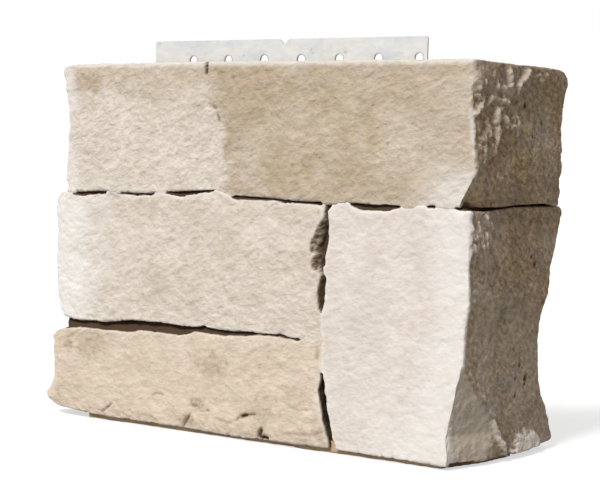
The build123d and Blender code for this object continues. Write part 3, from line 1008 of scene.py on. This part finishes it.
class LEDGER_OT_lowest_stone(bpy.types.Operator):
    """Make the lowest stone on the left"""

    bl_idname = "ledger.lowest_stone"
    bl_label = "Lowest stone"

    def execute(self, context):
        low, high = (0.0, 0.0, 0.0), (upright_joint, leg, 52.0)
        outline = {
            "left": (
                (0, 0), (2.4, -6), (5, -9.6), (8, -10.6), (11, -8.4), (14.5, -6.4), (17.6, -5.4), (24, -5),
                (32, -5.6), (38, -6.2), (42, -7.6), (45, -4.4), (48, 0), (50, 2),
            ),
            "right": (
                (0, 8), (1.7, 7.6), (6.8, 5.8), (13.3, 3.6), (21, 1.7), (29, 0.2), (35, 1.4), (41, 1.6),
                (54, 1.4),
            ),
            "under": (
                (0, 0.4), (14, -0.8), (24, -1.8), (95, -2.1), (111, -2.4), (132, -2.8), (150, -2.2),
                (195, -1.9),
            ),
            "over": (
                (-4, 44.6), (3, 47.8), (14, 49.5), (50, 49.6), (60, 51.5), (88, 51.1), (99, 54.2),
                (108, 53.9), (119, 53.1), (134, 54.4), (144, 55.8), (157, 55.8), (171, 54.8), (186, 54),
            ),
            "touches": {"over": lower_touches, "right": upright_touches},
        }

        # Weathered spots: x, z, reach and strength
        stains = (
            (7, 38, 6, 0.8), (24, 40, 15, 0.4), (113, 37, 13, 0.6), (104, 14, 8, 0.8), (97, 3, 7, 0.8),
            (150, 13, 16, 0.4), (172, 24, 12, 0.35), (190, 5, 14, 0.5), (0, 6, 6, 0.5),
        )

        def paint(points, edge, bare, seed):
            """Sand, with brown along the lower edge and in spots, and faint bloom on the worn edges that is
            partly a painted highlight.
            """
            x, y, z = points.T
            wander = layered(points, 26, seed + 40, 3)
            tan = 0.1 + 0.3 * np.maximum(wander, 0) + 0.3 * step(28, 46, z) * step(60, 20, x)
            blots = layered(points, 5, seed + 44, 3, 0.65)
            brown = 0.22 * step(7, -1, z + 3 * blots) * (y < 4)
            for spot_x, spot_z, reach, share in stains:
                away = np.hypot(x - spot_x, 1.6 * (z - spot_z)) / reach
                brown = np.maximum(brown, 0.6 * share * step(1.1, 0.3, away + 0.5 * blots) * (y < 4))
            # The bloom on the worn edges is partly a painted highlight
            pale = 0.3 * falloff(edge, 1.8) * (y < 3)
            return tan, brown, pale

        features = {
            "rise": 5.6,
            "nibble": 0.9,
            "roughness": 0.8,
            "upright": 1,
            "cracks": [
                (33.5, 0.6, 41.2, 6.4, 0.55, 1.4), (93.9, -1.4, 99.6, 6.6, 0.9, 1.6),
                (101.3, 11.2, 104.5, 11.7, 0.5, 1.2), (106.8, 8.5, 113.7, 10.1, 0.45, 1.0),
                (72, 14.6, 75.6, 16, 0.5, 0.8), (75.6, 16, 80, 15.3, 0.5, 0.8),
                (131.7, 6.3, 135.5, 9.3, 0.5, 1.4), (135, 8.8, 140, 10.6, 0.9, 2.4),
                (140, 10.4, 145.8, 11.6, 0.5, 1.2), (147.6, -1, 149.2, 3.5, 1.1, 3.0),
                (148, -0.8, 154.3, -0.8, 0.9, 3.0), (168.5, 18, 174.5, 16.8, 0.6, 0.7),
                (174.5, 16.8, 180.3, 17.6, 0.6, 0.7), (184.6, 49.5, 184.6, 45, 1.3, 0.7),
                (4, 41.6, 11, 44.8, 1.4, 0.6), (118, 6, 129, 4, 0.7, 0.6), (163, 3, 184, 4.4, 0.7, 0.7),
                (184, 4.4, 191, 7.4, 0.6, 0.7),
            ],
        }
        colours = context.scene.stone_colours
        slant = radians(10)
        finish = cast_stone("cast_stone_sand", colours.sand, 0.8, slant, colours)
        carve("lowest_stone", low, high, outline, False, 53, slant, finish, features, paint)
        return {"FINISHED"}


class LEDGER_OT_backing(bpy.types.Operator):
    """Make the backing behind the joints, and the foot under the stones"""

    bl_idname = "ledger.backing"
    bl_label = "Backing and foot"

    def execute(self, context):
        colours = context.scene.stone_colours
        core = cast_stone("cast_stone_core", colours.sand, 1.0, 0.0, colours)
        low, high = (10.0, 8.0, 0.5), (face_width - 8, return_depth - 26, stone_height - 1)
        # A hair before the back of the flange, so that no two faces lie in one plane
        self.make("backing", low, high, leg - 0.06, 1.0, core)
        warm = cast_stone("cast_stone_ochre", colours.ochre, 1.0, 0.0, colours)
        low, high = (20.6, 4.2, -foot_height), (face_width - 4.2, return_depth - 38, 3.0)
        # A little before the back of the rebate
        self.make("foot", low, high, leg - rebate_depth - 0.3, 0.0, warm)
        return {"FINISHED"}

    def make(self, name, low, high, wall_y, soil_and_shade, finish):
        """An L-shaped block with rough fronts, chipped like the corner stone, and darkened in the joints and
        on its beds with dirt and painted shade.
        """
        pitch = 2.0 * bpy.context.scene.stone_sizes.pitch / MM
        # Two lines of points close together give the rebate its sharp edges
        ends = (rebate_left, rebate_left + 2 * hair, rebate_right - 2 * hair, rebate_right)
        rebate_y = leg - rebate_depth
        depths = (rebate_y - hair, rebate_y) if wall_y > rebate_y else ()
        xs = spread((low[0], *ends, wall_x, high[0]), (pitch,) * 6)
        ys = spread((low[1], *depths, wall_y, high[1]), (pitch,) * 4)
        zs = spread((low[2], high[2]), (pitch,))
        base, quads, sides = block(xs, ys, zs, (wall_x, wall_y))
        points, out = round_off(base, low, high, 0.6, True)
        rough = 0.8 * layered(base, 11, 71, 4, 0.6) * (1 - out[:, 2] ** 2)
        points = points + out * (rough[:, None] - 0.3)
        points, _ = chip(points, (face_width + 0.6, 0, -0.4), (-13, 54, 59), 0 * rough)
        points = keep_inside(open_rebate(points, base, 0.0))
        piece = make_piece(name, points, quads, sides)
        # Tucked-away parts and the beds are darkened with grime, partly dirt and partly painted shade
        tucked = step(leg - 4, leg - 10, points[:, 1]) + step(wall_x + 12, wall_x + 16, points[:, 0])
        on_bed = (out[:, 2] > 0.5) & (points[:, 1] < leg - 1)
        tan, brown, pale = 0.2 + 0.6 * soil_and_shade + 0.3 * rough, 0.5 * soil_and_shade + 0 * rough, 0 * rough
        grime = np.maximum(soil_and_shade * tucked, on_bed)
        hand_over(piece, finish, tan=tan, brown=brown, pale=pale, grime=grime)


class LEDGER_OT_flange(bpy.types.Operator):
    """Finish the nailing flange"""

    bl_idname = "ledger.flange"
    bl_label = "Nailing flange"

    def execute(self, context):
        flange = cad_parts["nailing_flange"]
        finish = galvanised_steel(context.scene.stone_colours)
        flange.data.materials.clear()
        flange.data.materials.append(finish)
        return {"FINISHED"}


class StudioSettings(bpy.types.PropertyGroup):
    """Camera, light and floor"""

    lens: bpy.props.FloatProperty(
        name="Lens", description="Focal length on a 36 mm sensor", unit="CAMERA", default=101.28
    )
    yaw: bpy.props.FloatProperty(
        name="Yaw", description="Turn of the camera from +Y to +X", subtype="ANGLE", default=radians(-34.8)
    )
    pitch: bpy.props.FloatProperty(
        name="Pitch", description="Rise of the camera's view", subtype="ANGLE", default=radians(-3.07)
    )
    roll: bpy.props.FloatProperty(
        name="Roll", description="Tilt of the camera about its view", subtype="ANGLE", default=radians(1.65)
    )
    camera_place: bpy.props.FloatVectorProperty(
        name="Camera",
        description="Place of the camera in the face frame",
        unit="LENGTH",
        default=(0.6892, -0.7429, 0.1522),
    )
    key_from: bpy.props.FloatVectorProperty(
        name="Key from",
        description="Direction that the key light comes from",
        subtype="DIRECTION",
        default=(0.055, -0.72, 0.69),
    )
    key_strength: bpy.props.FloatProperty(name="Key", description="Strength of the key light", default=3.05)
    key_angle: bpy.props.FloatProperty(
        name="Key size", description="Angle that the key light fills", subtype="ANGLE", default=radians(12)
    )
    fill: bpy.props.FloatProperty(name="Fill", description="Strength of light from all round", default=0.28)
    floor: tint("Floor", "Colour of the floor", "#B4B3B1")


class LEDGER_OT_studio(bpy.types.Operator):
    """Make the floor, the lights and the camera"""

    bl_idname = "ledger.studio"
    bl_label = "Studio"

    def execute(self, context):
        scene = context.scene
        studio = scene.studio_settings
        scene.view_settings.view_transform = "Standard"
        self.make_floor(studio)
        self.make_world(scene, studio)
        key = bpy.data.lights.new("key", "SUN")
        key.energy = studio.key_strength
        key.angle = studio.key_angle
        lamp = bpy.data.objects.new("key", key)
        lamp.rotation_euler = Vector(studio.key_from).to_track_quat("Z", "Y").to_euler()
        scene.collection.objects.link(lamp)
        self.make_camera(scene, studio)
        return {"FINISHED"}

    def seen_share(self, tree):
        """1 where the camera sees a surface itself, in a reflection or through glass, and 0 for the light
        that it sheds."""
        rays = add_node(tree, "ShaderNodeLightPath").outputs
        share = rays["Is Camera Ray"]
        for kind in ("Is Glossy Ray", "Is Transmission Ray"):
            share = maths(tree, "MAXIMUM", share, rays[kind])
        return share

    def make_floor(self, studio):
        """A wide flat sheet on which the foot stands. To the camera it adds a little light of its own, so
        that it is white where no shadow falls."""
        reach = 30.0
        mesh = bpy.data.meshes.new("floor")
        corners = [(-reach, -reach, 0), (reach, -reach, 0), (reach, reach, 0), (-reach, reach, 0)]
        mesh.from_pydata(corners, [], [(0, 1, 2, 3)])
        floor = bpy.data.objects.new("floor", mesh)
        bpy.context.scene.collection.objects.link(floor)
        material, tree, output, place = new_material("painted_floor")
        paint = add_node(tree, "ShaderNodeBsdfDiffuse", {"Color": (*studio.floor, 1)})
        glow = add_node(tree, "ShaderNodeEmission", {"Color": (1, 1, 1, 1), "Strength": 0.62})
        seen = self.seen_share(tree)
        both = add_node(tree, "ShaderNodeAddShader", {0: paint.outputs[0], 1: glow.outputs[0]})
        surface = add_node(tree, "ShaderNodeMixShader", {0: seen, 1: paint.outputs[0], 2: both.outputs[0]})
        tree.links.new(surface.outputs[0], output.inputs["Surface"])
        mesh.materials.append(material)

    def make_world(self, scene, studio):
        """Soft light from all round, stronger from above, seen as white by the camera and in
        reflections."""
        world = bpy.data.worlds.new("studio")
        world.use_nodes = True
        tree = world.node_tree
        tree.nodes.clear()
        seen = self.seen_share(tree)
        ahead = add_node(tree, "ShaderNodeTexCoord").outputs["Generated"]
        height = add_node(tree, "ShaderNodeSeparateXYZ", {0: ahead}).outputs["Z"]
        strength = remap(tree, height, 0.0, 1.0, 0.4 * studio.fill, 2.0 * studio.fill)
        light = add_node(tree, "ShaderNodeBackground", {"Color": (1, 1, 1, 1), "Strength": strength})
        white = add_node(tree, "ShaderNodeBackground", {"Color": (1, 1, 1, 1), "Strength": 1.0})
        both = add_node(tree, "ShaderNodeMixShader", {0: seen, 1: light.outputs[0], 2: white.outputs[0]})
        output = add_node(tree, "ShaderNodeOutputWorld")
        tree.links.new(both.outputs[0], output.inputs["Surface"])
        scene.world = world

    def make_camera(self, scene, studio):
        """The camera looks along its yaw and pitch, and is rolled about that line."""
        ahead = Vector(
            (sin(studio.yaw) * cos(studio.pitch), cos(studio.yaw) * cos(studio.pitch), sin(studio.pitch))
        )
        side = Vector((cos(studio.yaw), -sin(studio.yaw), 0))
        up = side.cross(ahead)
        right = cos(studio.roll) * side + sin(studio.roll) * up
        top = cos(studio.roll) * up - sin(studio.roll) * side
        camera = bpy.data.objects.new("camera", bpy.data.cameras.new("camera"))
        camera.data.sensor_width = 36
        camera.data.lens = studio.lens
        camera.data.clip_end = 100
        turn = Matrix((right, top, -ahead)).transposed().to_4x4()
        place = Vector(studio.camera_place) + Vector(face_origin * MM)
        camera.matrix_world = Matrix.Translation(place) @ turn
        scene.collection.objects.link(camera)
        scene.camera = camera


class LEDGER_PT_panel(bpy.types.Panel):
    """Makes and adjusts the corner piece"""

    bl_idname = "LEDGER_PT_panel"
    bl_label = "Ledger stone"
    bl_space_type = "VIEW_3D"
    bl_region_type = "UI"
    bl_category = "Ledger stone"

    def draw(self, context):
        for operator in operators:
            self.layout.operator(operator.bl_idname)
        for group in (context.scene.stone_sizes, context.scene.stone_colours, context.scene.studio_settings):
            for name in group.__annotations__:
                self.layout.prop(group, name)


operators = (
    LEDGER_OT_top_course,
    LEDGER_OT_corner_stone,
    LEDGER_OT_middle_stone,
    LEDGER_OT_lowest_stone,
    LEDGER_OT_backing,
    LEDGER_OT_flange,
    LEDGER_OT_studio,
)
classes = (StoneColours, StoneSizes, StudioSettings, *operators, LEDGER_PT_panel)


def register():
    for item in classes:
        bpy.utils.register_class(item)
    bpy.types.Scene.stone_colours = bpy.props.PointerProperty(type=StoneColours)
    bpy.types.Scene.stone_sizes = bpy.props.PointerProperty(type=StoneSizes)
    bpy.types.Scene.studio_settings = bpy.props.PointerProperty(type=StudioSettings)


def unregister():
    del bpy.types.Scene.studio_settings
    del bpy.types.Scene.stone_sizes
    del bpy.types.Scene.stone_colours
    for item in reversed(classes):
        bpy.utils.unregister_class(item)


def main():
    register()
    bpy.ops.ledger.top_course()
    bpy.ops.ledger.corner_stone()
    bpy.ops.ledger.middle_stone()
    bpy.ops.ledger.lowest_stone()
    bpy.ops.ledger.backing()
    bpy.ops.ledger.flange()
    bpy.ops.ledger.studio()


if __name__ == "__main__":
    main()
